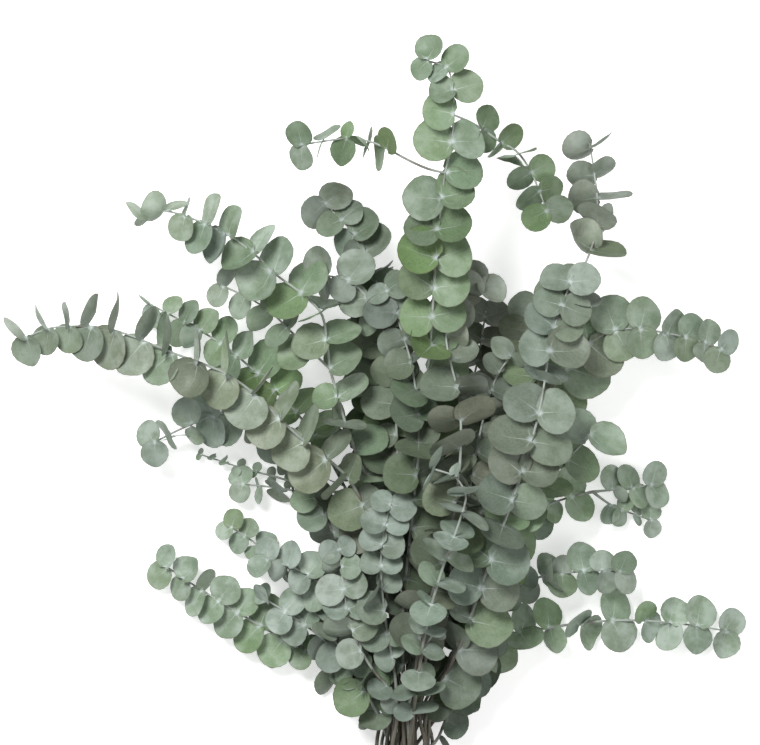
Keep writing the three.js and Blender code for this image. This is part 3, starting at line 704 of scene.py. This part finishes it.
def twine_growth():
    """Sweeps three plies, twisted together, along the line of the twine."""
    tree, given = new_growth(
        "twine_growth",
        {
            "Ply": ("NodeSocketFloat", TWINE_THICKNESS * PLY),
            "Twist": ("NodeSocketFloat", TWIST),
            "Material": ("NodeSocketMaterial", None),
        },
    )
    line = add_node(tree, "GeometryNodeMeshToCurve", {}, {"Mesh": given["Geometry"]})
    along = add_node(tree, "GeometryNodeSplineParameter").out(1)
    twisted = add_node(tree, "GeometryNodeSetCurveTilt", {}, {"Curve": line, "Tilt": along * given["Twist"]})
    ring, section = (
        add_node(
            tree,
            "GeometryNodeCurvePrimitiveCircle",
            {"mode": "RADIUS"},
            {"Resolution": corners, "Radius": given["Ply"]},
        )
        for corners in (3, 6)
    )
    plies = add_node(tree, "GeometryNodeInstanceOnPoints", {}, {"Points": ring, "Instance": section})
    three = add_node(tree, "GeometryNodeRealizeInstances", {}, [plies])
    sweep = {"Curve": twisted, "Profile Curve": three, "Fill Caps": True}
    swept = add_node(tree, "GeometryNodeCurveToMesh", {}, sweep)
    real = add_node(tree, "GeometryNodeRealizeInstances", {}, [swept])
    look = {"Geometry": real, "Material": given["Material"]}
    close(tree, add_node(tree, "GeometryNodeSetMaterial", {}, look))
    return tree


def twine_material():
    """Dry, hairy, straw-coloured fibre."""
    material, tree, shader = new_material("twine")
    here = add_node(tree, "ShaderNodeTexCoord").out(3)
    fibres = noise(tree, here, 2600.0, 4.0)
    patches = noise(tree, here, 160.0)
    tone = mixed(tree, fibres, *FIBRE)
    tone = mixed(tree, patches.ease(0.4, 0.7, 0.0, 0.4), tone, colour(0.5, 0.38, 0.2))
    tree.links.new(tone.socket, shader.inputs["Base Color"])
    shader.inputs["Roughness"].default_value = 0.9
    bump = add_node(tree, "ShaderNodeBump", {}, {"Strength": 0.6, "Distance": 0.0004, "Height": fibres})
    tree.links.new(bump.socket, shader.inputs["Normal"])
    return material


tied = [crossing(places, girths, links, NECK.y) for leaves, places, girths, links in branches.values()]
loop = tight_loop(tied, TWINE_THICKNESS * OFF_BARK)
route = wound(loop, TURNS, TWINE_STEPS, TWINE_THICKNESS * (1 - 1 / TURNS))
twine_line = bpy.data.meshes.new("twine_line")
twine_line.from_pydata(route, [(k, k + 1) for k in range(len(route) - 1)], [])
twine = finished("twine_turns", twine_line, twine_growth(), {"Material": twine_material()})
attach(twine, "root")
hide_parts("twine")


# ---------------------------------------------------------------- floor, light and camera
# A plain pale floor, a large soft light overhead, a weaker one from the other side and an even glow
# all round. The camera looks straight down on the bunch.
FLOOR_SIZE = 12.0
CAMERA_HEIGHT = 4.0
VIEW_WIDTH = 0.684  # across the view, at the height of the middle leaves
VIEW_CENTRE = Vector((-0.0207, 0.3758, 0.07))  # from the neck's place on the floor

floor_mesh = bpy.data.meshes.new("floor")
half = FLOOR_SIZE / 2
floor_corners = [(x * half, y * half, 0) for x, y in ((-1, -1), (1, -1), (1, 1), (-1, 1))]
floor_mesh.from_pydata(floor_corners, [], [(0, 1, 2, 3)])
floor = bpy.data.objects.new("floor", floor_mesh)
bpy.context.scene.collection.objects.link(floor)
floor_look, floor_tree, floor_shader = new_material("floor")
floor_shader.inputs["Base Color"].default_value = colour(0.88, 0.88, 0.88)
floor_shader.inputs["Roughness"].default_value = 0.9
floor_shader.inputs["Emission Color"].default_value = colour(1.0, 1.0, 1.0)
floor_shader.inputs["Emission Strength"].default_value = 0.5
floor_mesh.materials.append(floor_look)


def soft_light(name, place, target, size, power):
    """A round soft light at a place, pointing at the target."""
    light = bpy.data.lights.new(name, "AREA")
    light.shape = "DISK"
    light.size = size
    light.energy = power
    lamp = bpy.data.objects.new(name, light)
    bpy.context.scene.collection.objects.link(lamp)
    lamp.location = place
    lamp.rotation_euler = (target - place).to_track_quat("-Z", "Y").to_euler()


centre = Vector((NECK.x, NECK.y, 0)) + VIEW_CENTRE
soft_light("softbox", centre + Vector((-0.9, 1.2, 2.6)), centre, 1.2, 94.0)
soft_light("fill", centre + Vector((1.6, -0.6, 2.2)), centre, 2.0, 24.0)

world = bpy.data.worlds.new("world")
world.use_nodes = True
world.node_tree.nodes["Background"].inputs["Color"].default_value = colour(1.0, 1.0, 1.0)
world.node_tree.nodes["Background"].inputs["Strength"].default_value = 0.34
bpy.context.scene.world = world
bpy.context.scene.view_settings.view_transform = "Standard"

camera_data = bpy.data.cameras.new("camera")
camera_data.lens = camera_data.sensor_width * CAMERA_HEIGHT / VIEW_WIDTH
camera_data.clip_end = 50.0
camera = bpy.data.objects.new("camera", camera_data)
bpy.context.scene.collection.objects.link(camera)
camera.location = centre + Vector((0, 0, CAMERA_HEIGHT))
bpy.context.scene.camera = camera
